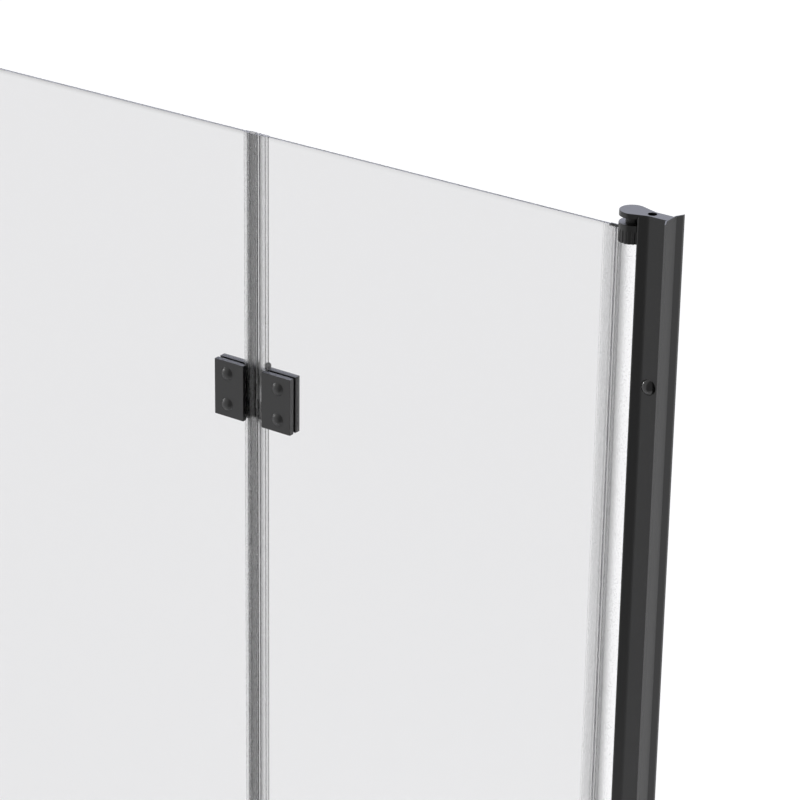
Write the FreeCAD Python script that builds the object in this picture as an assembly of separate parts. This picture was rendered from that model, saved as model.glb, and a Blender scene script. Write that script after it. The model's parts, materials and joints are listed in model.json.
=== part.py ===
"""Two-leaf folding shower door: glass leaves, wall profiles, pivots, fold hinges and seals.

Millimetres. +Z is up and runs along the wall pivot axis, +X points to the wall, +Y is the side the
outer leaf folds to. The origin is on the pivot axis, at the underside of the bottom pivot cap.
"""
import FreeCAD, Part
import math
import os

V = FreeCAD.Vector
UP = V(0, 0, 1)
ALONG_Y = V(0, 1, 0)

# Whole door
overall_height = 1400.0
overall_width = 1000.0
wall_to_pivot = 50.8
pivot_to_seam = 497.6
glass_thickness = 4.0
glass_end_gap = 21.8
glass_chamfer = 0.5

# Clearances
body_gap = 0.4
fit_gap = 0.1
press_gap = 0.02
running_gap = 0.05

# Wall profile
web_thickness = 1.6
wing_reach = 3.8
wing_span = 40.8
wing_tip = 3.2
wing_root_half = 10.0
flange_thickness = 1.5
flange_overlap = 13.0

# Hinge profile
profile_depth = 15.4
profile_wall = 1.6
profile_flat = 20.4
profile_end_gap = 1.6
horn_depth = 21.9
horn_tip_x = 0.7
nose_wall = 2.05
nose_fillet = 12.0
horn_tip_fillet = 0.9
recess_gap = 0.45
disc_gap = 0.3
port_wall = 1.9
port_rib = 3.0

# Pivot caps and their screws
disc_diameter = 29.6
disc_thickness = 5.7
cap_thickness = 2.9
cap_edge_fillet = 0.5
cap_hole_diameter = 10.2
cap_boss_wall = 1.0
cap_boss_length = 10.0
cap_boss_floor = 2.0
cap_screw_diameter = 4.0
cap_screw_length = 16.0
cap_screw_head_diameter = 7.6
cap_screw_head_height = 2.6

# Pivot pins, bushes and barrels
pivot_pin_diameter = 8.0
pivot_pin_seat = 4.0
pivot_pin_grip = 13.0
barrel_diameter = 29.8
barrel_height = 20.7
barrel_above_glass = 8.4
barrel_fillet = 0.8
bush_wall = 2.0
bush_collar_diameter = 15.2
bush_floor = 1.2
flute_count = 20
flute_radius = 1.4
flute_depth = 0.75
fluted_height = 14.0
barrel_to_glass = 5.2
hook_length = 7.0
hook_thickness = 2.4
hook_rise = 1.0
hook_fillet = 1.4

# Locking screws and their domed covers
lock_inset = 192.2
lock_from_corner = 9.2
lock_screw_diameter = 4.0
lock_head_diameter = 8.0
lock_head_height = 2.2
cover_diameter = 18.4
cover_height = 5.0

# Seals
seal_wall = 1.1
seal_base = 1.2
tube_diameter = 29.2
tube_wall = 1.4
pivot_leg = 14.0
outer_seam_gap = 11.3
inner_seam_gap = 5.3
inner_bulb = 4.5
outer_seam_leg = 4.3
inner_seam_front_leg = 9.2
inner_seam_back_leg = 10.9
bulb_depth = 8.0
bulb_corner = 3.4
free_edge_leg = 8.0
free_edge_bulb = 5.8
drip_leg = 12.0
drip_lip = 14.0
drip_lip_lean = 3.0
drip_fin = 7.0

# Fold hinges
hinge_inset = 320.6
plate_width = 41.8
plate_height = 70.0
front_plate_thickness = 6.7
back_plate_thickness = 8.0
plate_gap = 26.6
plate_fillet = 0.3
pad_seat = 0.8
pad_proud = 0.8
pad_inset = 2.0
relief_depth = 1.0
relief_clearance = 2.0
stud_inset = 18.2
stud_spacing = 38.8
glass_hole_diameter = 10.0
sleeve_diameter = 9.6
clamp_screw_diameter = 5.0
clamp_screw_clearance = 0.2
clamp_screw_grip = 4.6
clamp_head_diameter = 9.6
clamp_head_height = 2.6
clamp_cap_spigot = 1.2
clamp_cap_diameter = 16.2
clamp_cap_height = 4.0
axis_from_seam = 9.0
axis_behind_plate = 0.3
knuckle_diameter = 8.4
knuckle_inset = 3.0
inner_knuckle_height = 21.4
hinge_pin_diameter = 5.0
ball_diameter = 7.6
ball_rise = 3.8

# Places worked out from the sizes above
mid_height = overall_height / 2
half_glass = glass_thickness / 2
glass_bottom = glass_end_gap
glass_top = overall_height - glass_end_gap
barrel_radius = barrel_diameter / 2
barrel_top = glass_top + barrel_above_glass
barrel_bottom = barrel_top - barrel_height
hook_top = glass_top + hook_rise
hook_bottom = hook_top - hook_thickness
disc_radius = disc_diameter / 2
recess_radius = max(barrel_radius + recess_gap, tube_diameter / 2 + recess_gap, disc_radius + disc_gap)
inner_glass_right = -(barrel_radius + barrel_to_glass)
seam_x = -pivot_to_seam
inner_glass_left = seam_x + inner_seam_gap
outer_glass_right = seam_x - outer_seam_gap
split_x = inner_glass_left - inner_bulb - body_gap
inner_seam_reach = max(inner_seam_front_leg, inner_seam_back_leg)
free_end_x = wall_to_pivot - overall_width
outer_glass_left = free_end_x + seal_base + free_edge_bulb
leg_half = half_glass + running_gap + seal_wall

profile_half = profile_depth / 2
chamber_half = profile_half - profile_wall
chamber_x = recess_radius + nose_wall
boss_radius = cap_hole_diameter / 2 + cap_boss_wall
port_x = chamber_x + boss_radius + 1.5 * fit_gap
web_outer_x = wall_to_pivot - wing_reach
web_inner_x = web_outer_x - web_thickness
profile_end_x = web_inner_x - profile_end_gap
flat_x = profile_end_x - profile_flat
flange_half = chamber_half - fit_gap
flange_end_x = profile_end_x - flange_overlap
lock_x = flat_x + lock_from_corner
profile_bottom = cap_thickness
profile_top = overall_height - cap_thickness
lock_level = overall_height - lock_inset

plate_inside = half_glass + pad_proud
plate_front = plate_inside + front_plate_thickness
plate_back = plate_inside + back_plate_thickness
axis_x = seam_x + axis_from_seam
axis_y = plate_back + axis_behind_plate
hinge_levels = {"upper": glass_top - hinge_inset, "lower": glass_bottom + hinge_inset}
stud_offsets = (-stud_spacing / 2, stud_spacing / 2)
leaf_side = {"inner": 1, "outer": -1}
relief_start = relief_clearance - plate_gap / 2
relief_widths = {"inner": relief_start + inner_seam_gap + inner_seam_reach,
                 "outer": relief_start + outer_seam_gap + outer_seam_leg}


# Shape helpers
def box(x, y, z):
    """Box between two values on each axis, in any order."""
    x, y, z = sorted(x), sorted(y), sorted(z)
    return Part.makeBox(x[1] - x[0], y[1] - y[0], z[1] - z[0], V(x[0], y[0], z[0]))


def rod(x, y, z, diameter):
    """Upright round bar between two heights."""
    return Part.makeCylinder(diameter / 2, z[1] - z[0], V(x, y, z[0]), UP)


def cross_rod(x, y, z, diameter):
    """Round bar along Y between two depths."""
    low, high = sorted(y)
    return Part.makeCylinder(diameter / 2, high - low, V(x, low, z), ALONG_Y)


def prism(points, z):
    """Upright bar with a straight-sided plan outline."""
    corners = [V(px, py, z[0]) for px, py in points]
    face = Part.Face(Part.makePolygon(corners + corners[:1]))
    return face.extrude(V(0, 0, z[1] - z[0]))


def mirrored(half):
    """Close a half outline, given from Y = 0 outwards and back, across the mid-plane."""
    return half + [(px, -py) for px, py in reversed(half) if py != 0]


def end_for_end(shape):
    """The same piece for the other end of the door."""
    return shape.mirror(V(0, 0, mid_height), UP)


def upright_edges(shape, places):
    """Edges parallel to Z that stand at one of the given plan points."""
    found = []
    for edge in shape.Edges:
        ends = [vertex.Point for vertex in edge.Vertexes]
        if len(ends) < 2 or abs(ends[0].x - ends[1].x) + abs(ends[0].y - ends[1].y) > 1e-6:
            continue
        if any(math.hypot(ends[0].x - px, ends[0].y - py) < 1e-3 for px, py in places):
            found.append(edge)
    return found


def rim_edges(shape, z):
    """Edges that lie in the level z."""
    return [edge for edge in shape.Edges if all(abs(vertex.Point.z - z) < 1e-6 for vertex in edge.Vertexes)]


def rounded_tube(x, depth, corner, wall, z):
    """Hollow bar of rounded rectangular plan, centred on the mid-plane."""
    low, high = sorted(x)

    def bar(inset):
        block = box((low + inset, high - inset), (-depth / 2 + inset, depth / 2 - inset), z)
        radius = min(corner, (high - low) * 0.49, depth * 0.49) - inset
        corners = [(px, py) for px in (low + inset, high - inset)
                   for py in (-depth / 2 + inset, depth / 2 - inset)]
        return block.makeFillet(radius, upright_edges(block, corners))

    return bar(0).cut(bar(wall))


def dome(x, face_y, z, diameter, height):
    """Shallow dome on a face that looks to -Y."""
    ball_radius = (diameter ** 2 / 4 + height ** 2) / (2 * height)
    ball = Part.makeSphere(ball_radius, V(x, face_y - height + ball_radius, z))
    return ball.common(cross_rod(x, (face_y - 2 * height, face_y), z, diameter))


def clip_leg(x, face, z):
    """One leg of a seal that grips the glass; face is -1 in front and 1 behind."""
    return box(x, (face * (half_glass + running_gap), face * leg_half), z)


def clip_legs(x, z):
    """The two legs of a seal that grip the faces of the glass."""
    return [clip_leg(x, face, z) for face in (-1, 1)]


def fused(shapes):
    """One clean solid from touching shapes."""
    return shapes[0].multiFuse(shapes[1:]).removeSplitter()


pieces = {}


# Cap and hinge profile share the straight flank that leaves the disc as a tangent
def flank():
    """Point where the flank leaves the disc, and the point where it meets the flat side."""
    reach = math.hypot(flat_x, profile_half)
    angle = math.atan2(profile_half, flat_x) + math.acos(disc_radius / reach)
    return (disc_radius * math.cos(angle), disc_radius * math.sin(angle)), (flat_x, profile_half)


def flank_x(y):
    """X on the flank at a given half depth."""
    (x0, y0), (x1, y1) = flank()
    return x0 + (y - y0) * (x1 - x0) / (y1 - y0)


def wall_profile():
    """Web, splayed wings that close in the adhesive on the wall and two flanges for the hinge profile."""
    half_span = wing_span / 2
    slope = (half_span - wing_tip - wing_root_half) / wing_reach
    outer_root = half_span - slope * (wing_reach + web_thickness)
    half = [(web_outer_x, 0), (web_outer_x, wing_root_half),
            (wall_to_pivot, half_span - wing_tip), (wall_to_pivot, half_span),
            (web_inner_x, outer_root), (web_inner_x, flange_half),
            (flange_end_x, flange_half), (flange_end_x, flange_half - flange_thickness),
            (web_inner_x, flange_half - flange_thickness), (web_inner_x, 0)]
    bar = prism(mirrored(half), (0, overall_height))
    thread = cross_rod(lock_x, (-profile_half, 0), lock_level, lock_screw_diameter + 2 * press_gap)
    cap_room = box((flange_end_x - 1, web_outer_x + 1), (-profile_half - fit_gap, profile_half + fit_gap),
                   (profile_top - fit_gap, overall_height + 1))
    end_cuts = [thread, cap_room]
    return bar.cut(Part.makeCompound(end_cuts + [end_for_end(cut) for cut in end_cuts]))


def hinge_profile():
    """Two horns round the pivot, a chamber with a screw port and two legs over the wall profile."""
    horn_half = horn_depth / 2
    horn_x = flank_x(horn_half)
    z = (profile_bottom, profile_top)
    half = [(horn_tip_x, horn_half), (horn_x, horn_half),
            (flat_x, profile_half), (profile_end_x, profile_half)]
    bar = prism(half + [(px, -py) for px, py in reversed(half)], z)
    bar = bar.makeFillet(nose_fillet, upright_edges(bar, [(flat_x, side * profile_half) for side in (-1, 1)]))
    bar = bar.cut(rod(0, 0, z, 2 * recess_radius))
    tip_inner_x = math.sqrt(recess_radius ** 2 - horn_half ** 2)
    tips = [(px, side * horn_half) for px in (tip_inner_x, horn_x) for side in (-1, 1)]
    bar = bar.makeFillet(horn_tip_fillet, upright_edges(bar, tips))
    bar = bar.cut(box((chamber_x, profile_end_x + 1), (-chamber_half, chamber_half), z))
    port_diameter = cap_screw_diameter + 2 * port_wall
    port = rod(port_x, 0, z, port_diameter)
    rib = box((chamber_x - nose_wall / 2, port_x), (-port_rib / 2, port_rib / 2), z)
    bar = fused([bar, port, rib])
    pilot = rod(port_x, 0, z, cap_screw_diameter + 2 * press_gap)
    boss_room = rod(port_x, 0, (profile_top - cap_boss_length - fit_gap, profile_top),
                    2 * (boss_radius + fit_gap))
    lock_hole = cross_rod(lock_x, (-profile_half - 1, 0), lock_level, lock_screw_diameter + 2 * fit_gap)
    end_cuts = [boss_room, lock_hole]
    return bar.cut(Part.makeCompound([pilot] + end_cuts + [end_for_end(cut) for cut in end_cuts]))


def pivot_cap():
    """Top cap: disc over the pivot, tapering plate over both profiles and a deep screw hole."""
    tangent, corner = flank()
    half = [tangent, corner, (web_outer_x, profile_half)]
    z = (overall_height - cap_thickness, overall_height)
    plate = prism(half + [(px, -py) for px, py in reversed(half)], z)
    plate = plate.makeFillet(nose_fillet,
                             upright_edges(plate, [(corner[0], side * corner[1]) for side in (-1, 1)]))
    disc = rod(0, 0, (overall_height - disc_thickness, overall_height), disc_diameter)
    cap = fused([disc, plate])
    cap = cap.makeFillet(cap_edge_fillet, rim_edges(cap, overall_height))
    boss = rod(port_x, 0, (profile_top - cap_boss_length, profile_top), 2 * boss_radius)
    cap = cap.fuse(boss)
    floor_top = profile_top - cap_boss_length + cap_boss_floor
    hole = rod(port_x, 0, (floor_top, overall_height + 1), cap_hole_diameter)
    shank_hole = rod(port_x, 0, (floor_top - 2 * cap_boss_floor, overall_height),
                     cap_screw_diameter + 2 * fit_gap)
    seat = rod(0, 0, (overall_height - disc_thickness - 1, overall_height - disc_thickness + pivot_pin_seat),
               pivot_pin_diameter + 2 * press_gap)
    return cap.cut(Part.makeCompound([hole, shank_hole, seat]))


def cap_screw():
    """Pan-head screw at the bottom of the cap's hole, down into the profile's port."""
    floor_top = profile_top - cap_boss_length + cap_boss_floor
    head = rod(port_x, 0, (floor_top, floor_top + cap_screw_head_height), cap_screw_head_diameter)
    head = head.makeFillet(cap_screw_head_height / 3, rim_edges(head, floor_top + cap_screw_head_height))
    shank = rod(port_x, 0, (floor_top - cap_screw_length, floor_top), cap_screw_diameter)
    return head.fuse(shank)


def pivot_pin():
    """Steel pin held in the cap's disc and running in the barrel's bush."""
    top = overall_height - disc_thickness + pivot_pin_seat
    bottom = barrel_top - pivot_pin_grip
    pin = rod(0, 0, (bottom, top), pivot_pin_diameter)
    return pin.makeChamfer(pivot_pin_diameter / 10, rim_edges(pin, bottom))


def pivot_bush():
    """Plastic bush in the barrel, with the collar that keeps the barrel off the cap."""
    bottom = barrel_top - pivot_pin_grip - bush_floor
    collar_top = overall_height - disc_thickness - body_gap
    sleeve = rod(0, 0, (bottom, barrel_top), pivot_pin_diameter + 2 * bush_wall)
    collar = rod(0, 0, (barrel_top, collar_top), bush_collar_diameter)
    bore = rod(0, 0, (bottom + bush_floor - body_gap, collar_top + 1), pivot_pin_diameter + 2 * running_gap)
    return sleeve.fuse(collar).cut(bore)


def barrel():
    """Fluted barrel with the hook that is bonded into the glass corner's notch."""
    body = rod(0, 0, (barrel_bottom, barrel_top), barrel_diameter)
    body = body.makeFillet(barrel_fillet, rim_edges(body, barrel_top))
    flute_ring = barrel_radius + flute_radius - flute_depth
    flutes = []
    for i in range(flute_count):
        turn = 2 * math.pi * (i + 0.5) / flute_count
        centre = (flute_ring * math.cos(turn), flute_ring * math.sin(turn))
        flutes.append(rod(*centre, (barrel_bottom - 1, barrel_bottom + fluted_height), 2 * flute_radius))
    body = body.cut(Part.makeCompound(flutes))
    hook = box((inner_glass_right - hook_length, -barrel_radius / 2), (-half_glass, half_glass),
               (hook_bottom, hook_top))
    hook = hook.makeFillet(hook_fillet, rim_edges(hook, hook_top))
    body = fused([body, hook])
    bush_bottom = barrel_top - pivot_pin_grip - bush_floor
    socket = rod(0, 0, (bush_bottom, barrel_top + 1), pivot_pin_diameter + 2 * (bush_wall + press_gap))
    return body.cut(socket)


def locking_screw():
    """Screw through the front leg of the hinge profile into the wall profile's flange."""
    head_y = (-profile_half - lock_head_height, -profile_half)
    head = cross_rod(lock_x, head_y, lock_level, lock_head_diameter)
    end_y = -flange_half + 2 * flange_thickness
    return head.fuse(cross_rod(lock_x, (-profile_half, end_y), lock_level, lock_screw_diameter))


def screw_cover():
    """Domed cover that snaps over the locking screw's head."""
    shell = dome(lock_x, -profile_half, lock_level, cover_diameter, cover_height)
    room_y = (-profile_half - lock_head_height - fit_gap, -profile_half)
    room = cross_rod(lock_x, room_y, lock_level, lock_head_diameter + 2 * fit_gap)
    return shell.cut(room).cut(pieces["hinge_profile"])


# Glass and seals
def glass(x):
    """One leaf with polished edges; the clamp holes and corner notches are cut later."""
    pane = box(x, (-half_glass, half_glass), (glass_bottom, glass_top))
    return pane.makeChamfer(glass_chamfer, pane.Edges)


def pivot_tube_seal():
    """Clear clip on the glass edge whose two walls run on to a round tube between the barrels."""
    legs = clip_legs((inner_glass_right - pivot_leg, inner_glass_right), (glass_bottom, glass_top))
    low = overall_height - barrel_bottom + body_gap
    high = barrel_bottom - body_gap
    tube = rod(0, 0, (low, high), tube_diameter)
    bore = rod(0, 0, (low, high), tube_diameter - 2 * tube_wall)
    walls = clip_legs((inner_glass_right, -tube_diameter / 2 + tube_wall), (low, high))
    top = hook_bottom - body_gap
    base = box((inner_glass_right, inner_glass_right + seal_base), (-leg_half, leg_half),
               (overall_height - top, top))
    lips = clip_legs((inner_glass_right, -barrel_radius - body_gap), (overall_height - top, top))
    return fused(legs + walls + lips + [base, tube]).cut(bore)


def edge_seal(glass_edge, side, front_leg, back_leg, bulb_end):
    """Clip on an upright glass edge with a soft hollow bulb; side is the way the bulb points."""
    z = (glass_bottom, glass_top)
    base_end = glass_edge + side * seal_base
    legs = [clip_leg((glass_edge - side * front_leg, base_end), -1, z),
            clip_leg((glass_edge - side * back_leg, base_end), 1, z)]
    base = box((glass_edge, base_end), (-leg_half, leg_half), z)
    bulb = rounded_tube((base_end - side * seal_wall / 2, bulb_end), bulb_depth, bulb_corner, seal_wall, z)
    return fused(legs + [base, bulb])


def drip_seal(x):
    """Clip on the bottom edge with a leaning lip and a short fin on the shower side."""
    top = glass_bottom + drip_leg
    bottom = glass_bottom - seal_base
    legs = clip_legs(x, (bottom, top))
    base = box(x, (-leg_half, leg_half), (bottom, glass_bottom))
    low, high = sorted(x)

    def blade(start_y, reach_y, drop):
        root = bottom + seal_base / 2
        tip_y = start_y + reach_y
        corners = [V(low, start_y, root), V(low, start_y + seal_wall, root),
                   V(low, tip_y + seal_wall, bottom - drop), V(low, tip_y, bottom - drop)]
        return Part.Face(Part.makePolygon(corners + corners[:1])).extrude(V(high - low, 0, 0))

    lip = blade(half_glass, drip_lip_lean - half_glass, drip_lip)
    fin = blade(-leg_half, -drip_lip_lean, drip_fin)
    return fused(legs + [base, lip, fin])


# Fold hinges
class HingeHalf:
    """Places of one leaf's half of a fold hinge."""

    def __init__(self, leaf, level):
        self.side = leaf_side[leaf]
        self.level = level
        self.seam_edge = seam_x + self.side * plate_gap / 2
        self.outer_edge = self.seam_edge + self.side * plate_width
        self.stud_x = self.outer_edge - self.side * stud_inset
        self.relief_edge = self.seam_edge + self.side * relief_widths[leaf]
        self.pad_x = (self.relief_edge + self.side * pad_inset / 2, self.outer_edge - self.side * pad_inset)
        self.pad_z = (level - plate_height / 2 + pad_inset, level + plate_height / 2 - pad_inset)
        self.stud_levels = [level + offset for offset in stud_offsets]
        self.z = (level - plate_height / 2, level + plate_height / 2)
        self.knuckle_z = (self.z[0] + knuckle_inset, self.z[1] - knuckle_inset)
        self.bore_z = (self.knuckle_z[0] - 1, self.knuckle_z[1] + 1)
        self.inner_knuckle_z = (level - inner_knuckle_height / 2, level + inner_knuckle_height / 2)

    def plate(self, face):
        """Plain plate with its pad pocket and seal relief; face is -1 in front and 1 behind."""
        outside = plate_front if face < 0 else plate_back
        blank = box((self.seam_edge, self.outer_edge), (face * plate_inside, face * outside), self.z)
        blank = blank.makeFillet(plate_fillet, blank.Edges)
        pocket_x = (self.pad_x[0] - self.side * fit_gap, self.pad_x[1] + self.side * fit_gap)
        pocket_z = (self.pad_z[0] - fit_gap, self.pad_z[1] + fit_gap)
        pocket = box(pocket_x, (0, face * (plate_inside + pad_seat)), pocket_z)
        relief = box((self.seam_edge - self.side, self.relief_edge),
                     (0, face * (plate_inside + relief_depth)), (self.z[0] - 1, self.z[1] + 1))
        return blank.cut(Part.makeCompound([pocket, relief]))

    def front_plate(self):
        """Front plate with counterbored holes for the clamp screws and their caps."""
        shank_holes = [cross_rod(self.stud_x, (-plate_front - 1, 0), level,
                                 clamp_screw_diameter + 2 * clamp_screw_clearance)
                       for level in self.stud_levels]
        head_depth = clamp_head_height + clamp_cap_spigot + fit_gap
        head_holes = [cross_rod(self.stud_x, (-plate_front - 1, -plate_front + head_depth), level,
                                clamp_head_diameter + 2 * fit_gap)
                      for level in self.stud_levels]
        return self.plate(-1).cut(Part.makeCompound(shank_holes + head_holes))

    def back_plate(self):
        """Back plate with blind threads and its share of the knuckles."""
        plate = self.plate(1)
        threads = [cross_rod(self.stud_x, (0, plate_inside + clamp_screw_grip + fit_gap), level,
                             clamp_screw_diameter + 2 * press_gap)
                   for level in self.stud_levels]
        plate = plate.cut(Part.makeCompound(threads))
        if self.side > 0:
            return self.add_inner_knuckle(plate)
        return self.add_outer_knuckles(plate)

    def arm(self, z):
        """Arm from inside the plate to the pin axis, clear of the seam seals."""
        arm_front = bulb_depth / 2 + body_gap
        root_x = self.seam_edge + self.side * 2 * plate_fillet
        return box((root_x, axis_x), (arm_front, plate_back - plate_fillet), z)

    def add_inner_knuckle(self, plate):
        """Middle knuckle, which turns on the pin."""
        knuckle = rod(axis_x, axis_y, self.inner_knuckle_z, knuckle_diameter)
        bore = rod(axis_x, axis_y, self.bore_z, hinge_pin_diameter + 2 * running_gap)
        room = rod(axis_x, axis_y, self.bore_z, knuckle_diameter + 2 * body_gap)
        return fused([plate.cut(room), self.arm(self.inner_knuckle_z), knuckle]).cut(bore)

    def add_outer_knuckles(self, plate):
        """Long arm across the seam with a knuckle above and below the middle one."""
        arm = self.arm(self.knuckle_z)
        knuckle = rod(axis_x, axis_y, self.knuckle_z, knuckle_diameter)
        room_z = (self.inner_knuckle_z[0] - body_gap, self.inner_knuckle_z[1] + body_gap)
        room = rod(axis_x, axis_y, room_z, knuckle_diameter + 2 * body_gap)
        corner_room = box((axis_x - axis_from_seam, axis_x + knuckle_diameter), (0, axis_y), room_z)
        bore = rod(axis_x, axis_y, self.bore_z, hinge_pin_diameter + 2 * press_gap)
        return fused([plate, arm, knuckle]).cut(Part.makeCompound([room, corner_room, bore]))

    def pads(self):
        """Front and back pads; the front one carries the sleeves through the glass."""
        front = box(self.pad_x, (-half_glass, -plate_inside - pad_seat), self.pad_z)
        back = box(self.pad_x, (half_glass, plate_inside + pad_seat), self.pad_z)
        sleeves = [cross_rod(self.stud_x, (-half_glass, half_glass), level, sleeve_diameter)
                   for level in self.stud_levels]
        holes = [cross_rod(self.stud_x, (-plate_front, plate_back), level,
                           clamp_screw_diameter + 2 * clamp_screw_clearance)
                 for level in self.stud_levels]
        cutter = Part.makeCompound(holes)
        return Part.makeCompound([fused([front] + sleeves).cut(cutter), back.cut(cutter)])

    def clamp_screws(self):
        """Screws from the front plate through the glass into the back plate."""
        screws = []
        head_top = -plate_front + clamp_cap_spigot + fit_gap
        head_bottom = head_top + clamp_head_height
        for level in self.stud_levels:
            head = cross_rod(self.stud_x, (head_top, head_bottom), level, clamp_head_diameter)
            shank = cross_rod(self.stud_x, (head_bottom, plate_inside + clamp_screw_grip), level,
                              clamp_screw_diameter)
            screws.append(head.fuse(shank))
        return Part.makeCompound(screws)

    def dome_caps(self):
        """Domed caps pressed into the counterbores over the screw heads."""
        caps = []
        for level in self.stud_levels:
            spigot = cross_rod(self.stud_x, (-plate_front, -plate_front + clamp_cap_spigot), level,
                               clamp_head_diameter)
            crown = dome(self.stud_x, -plate_front, level, clamp_cap_diameter, clamp_cap_height)
            caps.append(crown.fuse(spigot))
        return Part.makeCompound(caps)

    def glass_holes(self):
        """Holes through the glass for the clamp screws and their sleeves."""
        return [cross_rod(self.stud_x, (-glass_thickness, glass_thickness), level, glass_hole_diameter)
                for level in self.stud_levels]

    def hinge_pin(self):
        """Pin through the three knuckles with a ball at each end."""
        ball_z = (self.knuckle_z[0] - ball_rise, self.knuckle_z[1] + ball_rise)
        shaft = rod(axis_x, axis_y, ball_z, hinge_pin_diameter)
        balls = [Part.makeSphere(ball_diameter / 2, V(axis_x, axis_y, level)) for level in ball_z]
        trim = box((axis_x - ball_diameter, axis_x + ball_diameter),
                   (axis_y - ball_diameter, axis_y + ball_diameter), self.knuckle_z)
        return fused([shaft] + [ball.cut(trim) for ball in balls])


# Wall profiles, and the pieces that are the same at both ends
pieces["wall_profile"] = wall_profile()
pieces["hinge_profile"] = hinge_profile()
for name, maker in (("pivot_cap", pivot_cap), ("pivot_pin", pivot_pin),
                    ("pivot_bush", pivot_bush), ("barrel", barrel), ("cap_screw", cap_screw),
                    ("locking_screw", locking_screw), ("screw_cover", screw_cover)):
    pieces["top_" + name] = maker()
    pieces["bottom_" + name] = end_for_end(pieces["top_" + name])

# Glass leaves and their seals
panes = {"inner": glass((inner_glass_left, inner_glass_right)),
         "outer": glass((outer_glass_left, outer_glass_right))}
pieces["pivot_tube_seal"] = pivot_tube_seal()
pieces["inner_seam_seal"] = edge_seal(inner_glass_left, -1, inner_seam_front_leg, inner_seam_back_leg,
                                      split_x + body_gap)
pieces["outer_seam_seal"] = edge_seal(outer_glass_right, 1, outer_seam_leg, outer_seam_leg, split_x)
pieces["free_edge_seal"] = edge_seal(outer_glass_left, -1, free_edge_leg, free_edge_leg, free_end_x)
pieces["inner_drip_seal"] = drip_seal((inner_glass_left + inner_seam_reach + body_gap,
                                       inner_glass_right - pivot_leg - body_gap))
pieces["outer_drip_seal"] = drip_seal((outer_glass_left + free_edge_leg + body_gap,
                                       outer_glass_right - outer_seam_leg - body_gap))

notch = box((inner_glass_right - hook_length, inner_glass_right + 1), (-glass_thickness, glass_thickness),
            (hook_bottom, glass_top + 1))
panes["inner"] = panes["inner"].cut(Part.makeCompound([notch, end_for_end(notch)]))

# Fold hinges
for position, level in hinge_levels.items():
    for leaf in leaf_side:
        half = HingeHalf(leaf, level)
        label = position + "_" + leaf + "_"
        pieces[label + "front_plate"] = half.front_plate()
        pieces[label + "back_plate"] = half.back_plate()
        pieces[label + "pads"] = half.pads()
        pieces[label + "clamp_screws"] = half.clamp_screws()
        pieces[label + "dome_caps"] = half.dome_caps()
        panes[leaf] = panes[leaf].cut(Part.makeCompound(half.glass_holes()))
    pieces[position + "_hinge_pin"] = HingeHalf("outer", level).hinge_pin()
pieces["inner_glass"] = panes["inner"]
pieces["outer_glass"] = panes["outer"]

# One file per piece
os.makedirs("parts", exist_ok=True)
for name, shape in pieces.items():
    shape.exportStep(os.path.join("parts", name + ".step"))
    print(name, len(shape.Solids), "solids,", round(shape.Volume / 1000, 2), "cm3, valid", shape.isValid())
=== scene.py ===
"""Looks of the folding shower door: camera, light, floor and the procedural materials of every piece."""
import json
import math

import bpy
from mathutils import Matrix, Vector


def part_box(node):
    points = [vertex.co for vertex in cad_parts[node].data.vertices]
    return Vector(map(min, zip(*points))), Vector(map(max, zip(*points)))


# Plain tones
WHITE = (1.0, 1.0, 1.0)
BLACK = (0.0, 0.0, 0.0)

# Camera in the part's frame: metres, degrees, and millimetres for the lens
CAMERA_PLACE = (1.7184, -2.8766, 2.6375)
CAMERA_YAW = 34.98
CAMERA_PITCH = 23.593
CAMERA_ROLL = -0.906
CAMERA_LENS = 152.84
SENSOR_WIDTH = 36.0

# World and floor
SKY_STRENGTH = 0.35
FLOOR_GLOW = 0.45
FLOOR_TONE = 0.8
FLOOR_ROUGHNESS = 0.9
FLOOR_SIZE = 60.0
FLOOR_HEIGHT = -0.0005

# Lamps: direction that the light comes from, strength, spread in degrees, tone, whether reflections see it
LAMPS = {
    "back_light": ((-0.55, 0.75, 0.5), 0.64, 50.0, (0.7, 0.74, 1.0), True),
    "top_light": ((-0.35, -0.3, 1.0), 1.0, 40.0, (1.0, 0.985, 0.955), False),
    "left_light": ((-0.95, -0.2, 0.2), 0.5, 6.0, WHITE, True),
}

# Grey card: its sides, its place before the part, its top edge, and its glow
CARD_LEFT = -0.45
CARD_RIGHT = 2.6
CARD_FRONT = -1.2
CARD_TOP = 6.0
CARD_GLOW = 0.38

# Grain: stretch along each axis and scale of the noise
EVEN = (1.0, 1.0, 1.0)
FITTING_GRAIN = (EVEN, 1400.0)
PROFILE_GRAIN = ((1.0, 1.0, 0.05), 900.0)
SEAL_GRAIN = ((1.0, 1.0, 0.06), 1300.0)
COARSE_GRAIN = (EVEN, 600.0)
NOISE_DETAIL = 3.0

# Noise values between which a grain spreads over its range; speckles reach the end sooner
NOISE_LOW = 0.3
NOISE_HIGH = 0.7
SPECKLE_HIGH = 0.5

# Black powder coat, steel, rubber and plastic: tones, and how much the roughness varies each way
COAT_TONE = (0.004, 0.004, 0.0042)
STEEL_TONE = (0.55, 0.55, 0.54)
RUBBER_TONE = (0.02, 0.02, 0.02)
PLASTIC_TONE = (0.015, 0.015, 0.015)
COAT_UNEVEN = 0.03
PLAIN_UNEVEN = 0.04
COAT_BUMP = 0.06
COAT_BUMP_HEIGHT = 0.0002

# Upright end faces, told by how far their normal points along X: where they start and where they are full
END_STARTS = 0.8
GLASS_END_FULL = 0.9

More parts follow.
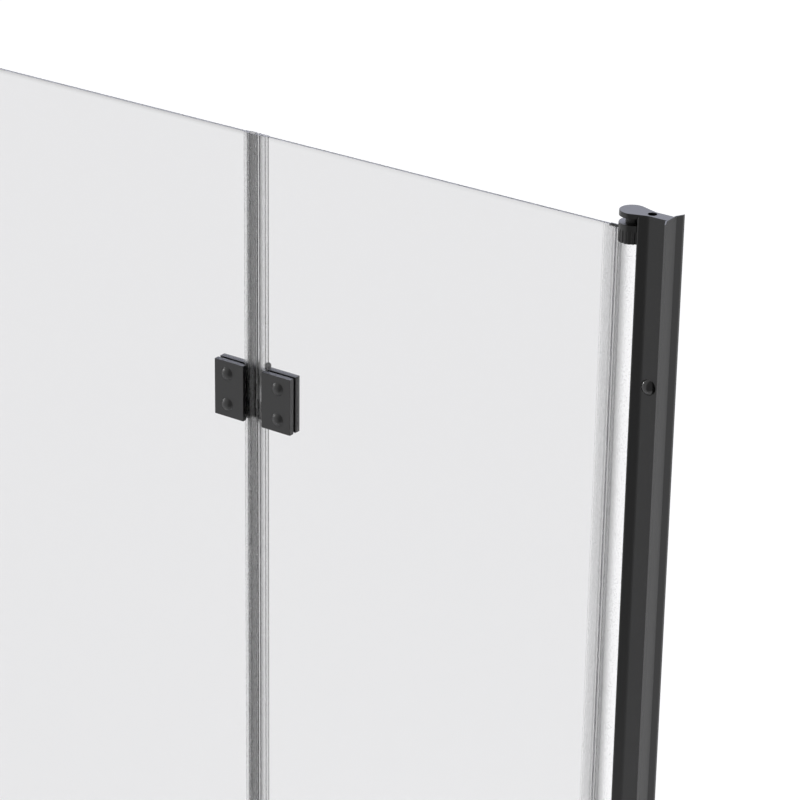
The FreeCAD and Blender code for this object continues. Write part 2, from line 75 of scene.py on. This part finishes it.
# Tone of the glass, darkened by painted shade in a band along its top and bottom edges: depth inside its
# top or bottom edge in metres, tone
INNER_GLASS_TINT_AND_EDGE_SHADE = [(0.006, 0.76), (0.0035, 0.725), (0.002, 0.69), (0.0008, 0.68), (0.0005, 0.52), (0.0, 0.52)]
OUTER_GLASS_TINT_AND_EDGE_SHADE = [(0.0065, 0.76), (0.0045, 0.72), (0.0025, 0.63), (0.0008, 0.57), (0.0005, 0.4), (0.0, 0.4)]
GLASS_INDEX = 1.45
GROUND_EDGE_CLEARNESS = 0.1

# Tone of the clear seals: distance past the glass edge that they clip on in metres, tone; the stops of the
# pivot and seam seals are painted shade and painted highlights on their curved walls
PLAIN_SEAL = [(-0.02, 0.9), (0.02, 0.9)]
PIVOT_SEAL_TONE_AND_PAINTED_SHADING = [(-0.014, 0.97), (-0.0094, 0.9), (-0.0028, 0.865), (-0.002, 0.7), (-0.0008, 0.7),
              (0.0002, 0.98), (0.0022, 0.95), (0.003, 0.63), (0.0044, 0.53), (0.0056, 0.37), (0.0067, 0.52),
              (0.0079, 0.66), (0.0094, 0.83), (0.0117, 0.93), (0.0172, 0.99), (0.0342, 1.0)]
INNER_SEAM_TONE_AND_PAINTED_SHADING = [(-0.0109, 0.6), (-0.0101, 0.6), (-0.0098, 1.0), (-0.0095, 1.0), (-0.0092, 0.72),
              (-0.0086, 0.72), (-0.0083, 1.0), (-0.005, 0.97), (-0.0034, 0.86), (-0.0019, 0.75),
              (-0.0004, 0.7), (0.001, 0.6), (0.0035, 0.58), (0.0045, 0.48)]
OUTER_SEAM_TONE_AND_PAINTED_SHADING = [(-0.0043, 0.8), (-0.0037, 0.8), (-0.0034, 1.0), (-0.0003, 1.0), (0.0003, 0.49),
              (0.0085, 0.43), (0.0103, 0.58), (0.0112, 0.42), (0.0117, 0.38)]
SEAL_UNEVEN = 0.08
LOW_END = 0
HIGH_END = 1

# Slots that light passes through, and looks of their own that some nodes have in place of their slot's
CLEAR_SLOTS = ("clear_glass", "clear_seal")
OWN_LOOKS = ("outer_glass", "pivot_tube_seal", "inner_seam_seal", "outer_seam_seal", "front_plate",
             "screw_cover")


def material(name):
    """New node material; returns it with its node tree and its Principled shader."""
    new = bpy.data.materials.new(name)
    new.use_nodes = True
    tree = new.node_tree
    return new, tree, tree.nodes["Principled BSDF"]


def node(tree, kind, **inputs):
    """New node with the named input values set; underscores stand for spaces."""
    new = tree.nodes.new(kind)
    for name, value in inputs.items():
        new.inputs[name.replace("_", " ")].default_value = value
    return new


def math_node(tree, operation, *values):
    """Result of a math node; each value is a number or the output of another node."""
    new = tree.nodes.new("ShaderNodeMath")
    new.operation = operation
    for socket, value in zip(new.inputs, values):
        if isinstance(value, float):
            socket.default_value = value
        else:
            tree.links.new(value, socket)
    return new.outputs["Value"]


def along(tree, axis, field="Object"):
    """One axis of the object coordinate, or of the surface's normal."""
    coords = tree.nodes.new("ShaderNodeTexCoord")
    split = tree.nodes.new("ShaderNodeSeparateXYZ")
    tree.links.new(coords.outputs[field], split.inputs["Vector"])
    return split.outputs[axis]


def noise(tree, grain):
    """Noise value over the piece, in object coordinates stretched along each axis."""
    stretch, scale = grain
    coords = tree.nodes.new("ShaderNodeTexCoord")
    mapping = node(tree, "ShaderNodeMapping", Scale=stretch)
    tree.links.new(coords.outputs["Object"], mapping.inputs["Vector"])
    new = node(tree, "ShaderNodeTexNoise", Scale=scale, Detail=NOISE_DETAIL)
    tree.links.new(mapping.outputs["Vector"], new.inputs["Vector"])
    return new.outputs["Fac"]


def spread(tree, value, low, high, full=NOISE_HIGH):
    """Map a noise value onto a range, which it reaches the end of at the given value."""
    new = node(tree, "ShaderNodeMapRange", From_Min=NOISE_LOW, From_Max=full, To_Min=low, To_Max=high)
    tree.links.new(value, new.inputs["Value"])
    return new.outputs["Result"]


def roughen(tree, shader, value, roughness, uneven):
    """Let the shader's roughness vary with a noise value."""
    tree.links.new(spread(tree, value, roughness - uneven, roughness + uneven), shader.inputs["Roughness"])


def bump(tree, shader, value, strength, distance):
    """Bump the shader's normal by a value."""
    new = node(tree, "ShaderNodeBump", Strength=strength, Distance=distance)
    tree.links.new(value, new.inputs["Height"])
    tree.links.new(new.outputs["Normal"], shader.inputs["Normal"])


def ramp_of(tree, value, stops):
    """Grey that follows a value, given as pairs of value and tone."""
    first = stops[0][0]
    last = stops[-1][0]
    place = node(tree, "ShaderNodeMapRange", From_Min=first, From_Max=last)
    tree.links.new(value, place.inputs["Value"])
    ramp = tree.nodes.new("ShaderNodeValToRGB")
    elements = ramp.color_ramp.elements
    while len(elements) < len(stops):
        elements.new(0.5)
    for element, (x, tone) in zip(elements, stops):
        element.position = (x - first) / (last - first)
        element.color = (tone, tone, tone, 1.0)
    tree.links.new(place.outputs["Result"], ramp.inputs["Fac"])
    return ramp.outputs["Color"]


def coated_metal(name, grain, roughness, index, end_sheen_index=None):
    """Black powder coat with a fine grain that breaks the sheen; faces towards +X may get a painted sheen.
    """
    new, tree, shader = material(name)
    shader.inputs["Base Color"].default_value = (*COAT_TONE, 1.0)
    shader.inputs["IOR"].default_value = index
    # Painted sheen: faces pointing towards +X get a higher index, so they reflect more than the rest of the
    # coat
    if end_sheen_index is not None:
        facing = node(tree, "ShaderNodeMapRange", From_Min=END_STARTS, To_Min=index, To_Max=end_sheen_index)
        tree.links.new(along(tree, "X", "Normal"), facing.inputs["Value"])
        tree.links.new(facing.outputs["Result"], shader.inputs["IOR"])
    value = noise(tree, grain)
    roughen(tree, shader, value, roughness, COAT_UNEVEN)
    bump(tree, shader, value, COAT_BUMP, COAT_BUMP_HEIGHT)
    return new


def clear_glass(name, edge_tones):
    """Clear float glass, darkened by painted shade towards the top and bottom edges, and its upright edges
    ground.
    """
    new, tree, shader = material(name)
    # The outer pane is as high as the inner one
    low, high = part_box("inner_glass")
    middle = (low[2] + high[2]) / 2
    edge = high[2] - middle
    offset = math_node(tree, "SUBTRACT", along(tree, "Z"), middle)
    distance = math_node(tree, "ABSOLUTE", offset)
    stops = [(edge - depth, tone) for depth, tone in edge_tones]
    # Painted shade: the base colour darkens in a band along the top and bottom edges
    tree.links.new(ramp_of(tree, distance, stops), shader.inputs["Base Color"])
    shader.inputs["Roughness"].default_value = 0.0
    shader.inputs["IOR"].default_value = GLASS_INDEX
    facing = math_node(tree, "ABSOLUTE", along(tree, "X", "Normal"))
    clearness = node(tree, "ShaderNodeMapRange", From_Min=END_STARTS, From_Max=GLASS_END_FULL,
                     To_Min=1.0, To_Max=GROUND_EDGE_CLEARNESS)
    tree.links.new(facing, clearness.inputs["Value"])
    tree.links.new(clearness.outputs["Result"], shader.inputs["Transmission Weight"])
    return new


def clear_seal(name, pane, end, stops, frost, shade, index=1.4, speckled=False):
    """Soft clear plastic on one end of a pane: its tone follows the stops across it, with painted shade and
    highlights on the curved seals, frosted and shaded by its grain.
    """
    new, tree, shader = material(name)
    shader.inputs["IOR"].default_value = index
    shader.inputs["Transmission Weight"].default_value = 1.0
    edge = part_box(pane)[end][0]
    outward = 1 if end == HIGH_END else -1
    places = sorted((edge + outward * past, tone) for past, tone in stops)
    grain = COARSE_GRAIN if speckled else SEAL_GRAIN
    full = SPECKLE_HIGH if speckled else NOISE_HIGH
    value = noise(tree, grain)
    # Painted shade and painted highlights: the stops lighten and darken the seal across X
    base_tone = ramp_of(tree, along(tree, "X"), places)
    shading = spread(tree, value, 1.0 - shade, 1.0, full)
    tree.links.new(math_node(tree, "MULTIPLY", base_tone, shading), shader.inputs["Base Color"])
    roughen(tree, shader, value, frost, SEAL_UNEVEN)
    return new


def plain(name, tone, roughness, metallic=0.0):
    """Plain piece with a little uneven roughness."""
    new, tree, shader = material(name)
    shader.inputs["Base Color"].default_value = (*tone, 1.0)
    shader.inputs["Metallic"].default_value = metallic
    roughen(tree, shader, noise(tree, COARSE_GRAIN), roughness, PLAIN_UNEVEN)
    return new


def build_materials():
    """One material per slot of the record, and those of the nodes with looks of their own."""
    return {
        "clear_glass": clear_glass("clear_glass", INNER_GLASS_TINT_AND_EDGE_SHADE),
        "outer_glass": clear_glass("outer_glass", OUTER_GLASS_TINT_AND_EDGE_SHADE),
        "clear_seal": clear_seal("clear_seal", "outer_glass", LOW_END, PLAIN_SEAL, frost=0.2, shade=0.14),
        "pivot_tube_seal": clear_seal("pivot_tube_seal", "inner_glass", HIGH_END, PIVOT_SEAL_TONE_AND_PAINTED_SHADING,
                                      frost=0.16, shade=0.2, index=1.2, speckled=True),
        "inner_seam_seal": clear_seal("inner_seam_seal", "inner_glass", LOW_END, INNER_SEAM_TONE_AND_PAINTED_SHADING,
                                      frost=0.2, shade=0.14),
        "outer_seam_seal": clear_seal("outer_seam_seal", "outer_glass", HIGH_END, OUTER_SEAM_TONE_AND_PAINTED_SHADING,
                                      frost=0.25, shade=0.14),
        "black_profile": coated_metal("black_profile", PROFILE_GRAIN, roughness=0.34, index=1.53),
        "black_fitting": coated_metal("black_fitting", FITTING_GRAIN, roughness=0.34, index=1.54),
        "front_plate": coated_metal("front_plate", FITTING_GRAIN, roughness=0.34, index=1.54,
                                    end_sheen_index=1.8),
        "dome_black": coated_metal("dome_black", FITTING_GRAIN, roughness=0.38, index=1.56),
        "screw_cover": coated_metal("screw_cover", FITTING_GRAIN, roughness=0.2, index=1.55),
        "screw_steel": plain("screw_steel", STEEL_TONE, roughness=0.3, metallic=1.0),
        "pad_rubber": plain("pad_rubber", RUBBER_TONE, roughness=0.7),
        "bush_plastic": plain("bush_plastic", PLASTIC_TONE, roughness=0.45),
    }


def look_of(name, slot):
    """Name of a node's material: its own look where the node's name ends with one, else its slot."""
    for look in OWN_LOOKS:
        if name.endswith(look):
            return look
    return slot


def dress(frame):
    """Give every node its material, and let light through the clear ones."""
    looks = build_materials()
    slots = {entry["node"]: entry["material_slot"] for entry in frame["record"]["subparts"]}
    for name, piece in frame["nodes"].items():
        slot = slots[name]
        piece.data.materials.clear()
        piece.data.materials.append(looks[look_of(name, slot)])
        if slot in CLEAR_SLOTS:
            piece.visible_shadow = False


def seen_directly(tree):
    """1 for camera, glossy and transmission rays, else 0."""
    path = tree.nodes.new("ShaderNodeLightPath")
    either = math_node(tree, "MAXIMUM", path.outputs["Is Camera Ray"], path.outputs["Is Glossy Ray"])
    return math_node(tree, "MAXIMUM", either, path.outputs["Is Transmission Ray"])


def white_world():
    """White behind the object, a softer even light on it."""
    world = bpy.data.worlds.new("white_world")
    bpy.context.scene.world = world
    world.use_nodes = True
    tree = world.node_tree
    background = tree.nodes["Background"]
    background.inputs["Color"].default_value = (*WHITE, 1.0)
    strength = node(tree, "ShaderNodeMapRange", To_Min=SKY_STRENGTH, To_Max=1.0)
    tree.links.new(seen_directly(tree), strength.inputs["Value"])
    tree.links.new(strength.outputs["Result"], background.inputs["Strength"])


def floor():
    """Pale floor that reads white in the light and keeps the object's shadow."""
    bpy.ops.mesh.primitive_plane_add(size=FLOOR_SIZE, location=(0.0, 0.0, FLOOR_HEIGHT))
    plane = bpy.context.object
    plane.name = "floor"
    new, tree, shader = material("pale_floor")
    shader.inputs["Base Color"].default_value = (FLOOR_TONE, FLOOR_TONE, FLOOR_TONE, 1.0)
    shader.inputs["Roughness"].default_value = FLOOR_ROUGHNESS
    shader.inputs["Specular IOR Level"].default_value = 0.0
    shader.inputs["Emission Color"].default_value = (*WHITE, 1.0)
    glow = node(tree, "ShaderNodeMapRange", To_Min=0.0, To_Max=FLOOR_GLOW)
    tree.links.new(seen_directly(tree), glow.inputs["Value"])
    tree.links.new(glow.outputs["Result"], shader.inputs["Emission Strength"])
    plane.data.materials.append(new)


def lights():
    """Far soft lamps: from behind for the top faces, from the left for the domes, else from above."""
    for name, (source, strength, angle, tone, mirrored) in LAMPS.items():
        lamp = bpy.data.lights.new(name, "SUN")
        lamp.energy = strength
        lamp.angle = math.radians(angle)
        lamp.color = tone
        holder = bpy.data.objects.new(name, lamp)
        bpy.context.collection.objects.link(holder)
        holder.rotation_euler = (-Vector(source)).to_track_quat("-Z", "Y").to_euler()
        holder.visible_glossy = mirrored


def grey_card():
    """Upright card before the part that only reflections see, so that curved faces get their shape."""
    corners = [(CARD_LEFT, CARD_FRONT, 0.0), (CARD_RIGHT, CARD_FRONT, 0.0),
               (CARD_RIGHT, CARD_FRONT, CARD_TOP), (CARD_LEFT, CARD_FRONT, CARD_TOP)]
    mesh = bpy.data.meshes.new("grey_card")
    mesh.from_pydata(corners, [], [(0, 1, 2, 3)])
    card = bpy.data.objects.new("grey_card", mesh)
    bpy.context.collection.objects.link(card)
    new, _, shader = material("grey_card")
    shader.inputs["Base Color"].default_value = (*BLACK, 1.0)
    shader.inputs["Specular IOR Level"].default_value = 0.0
    shader.inputs["Emission Color"].default_value = (*WHITE, 1.0)
    shader.inputs["Emission Strength"].default_value = CARD_GLOW
    mesh.materials.append(new)
    card.visible_camera = False
    card.visible_diffuse = False
    card.visible_transmission = False
    card.visible_shadow = False


def camera():
    """Long lens at the photograph's angle."""
    yaw = math.radians(CAMERA_YAW)
    pitch = math.radians(CAMERA_PITCH)
    roll = math.radians(CAMERA_ROLL)
    ahead = Vector((-math.sin(yaw) * math.cos(pitch), math.cos(yaw) * math.cos(pitch), -math.sin(pitch)))
    level = Vector((math.cos(yaw), math.sin(yaw), 0.0))
    down = ahead.cross(level)
    right = math.cos(roll) * level + math.sin(roll) * down
    up = math.sin(roll) * level - math.cos(roll) * down
    data = bpy.data.cameras.new("camera")
    data.sensor_width = SENSOR_WIDTH
    data.lens = CAMERA_LENS
    holder = bpy.data.objects.new("camera", data)
    bpy.context.collection.objects.link(holder)
    turn = Matrix((right, up, -ahead)).transposed().to_4x4()
    holder.matrix_world = Matrix.Translation(CAMERA_PLACE) @ turn
    bpy.context.scene.camera = holder


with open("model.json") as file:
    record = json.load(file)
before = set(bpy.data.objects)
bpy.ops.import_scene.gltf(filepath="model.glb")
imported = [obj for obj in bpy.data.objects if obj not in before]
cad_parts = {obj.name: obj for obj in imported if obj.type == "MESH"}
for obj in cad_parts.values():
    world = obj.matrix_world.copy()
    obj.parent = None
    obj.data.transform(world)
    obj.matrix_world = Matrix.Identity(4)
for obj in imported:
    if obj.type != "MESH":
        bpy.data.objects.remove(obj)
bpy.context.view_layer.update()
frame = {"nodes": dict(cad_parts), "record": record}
dress(frame)
white_world()
floor()
lights()
grey_card()
camera()
bpy.context.scene.view_settings.view_transform = "Standard"
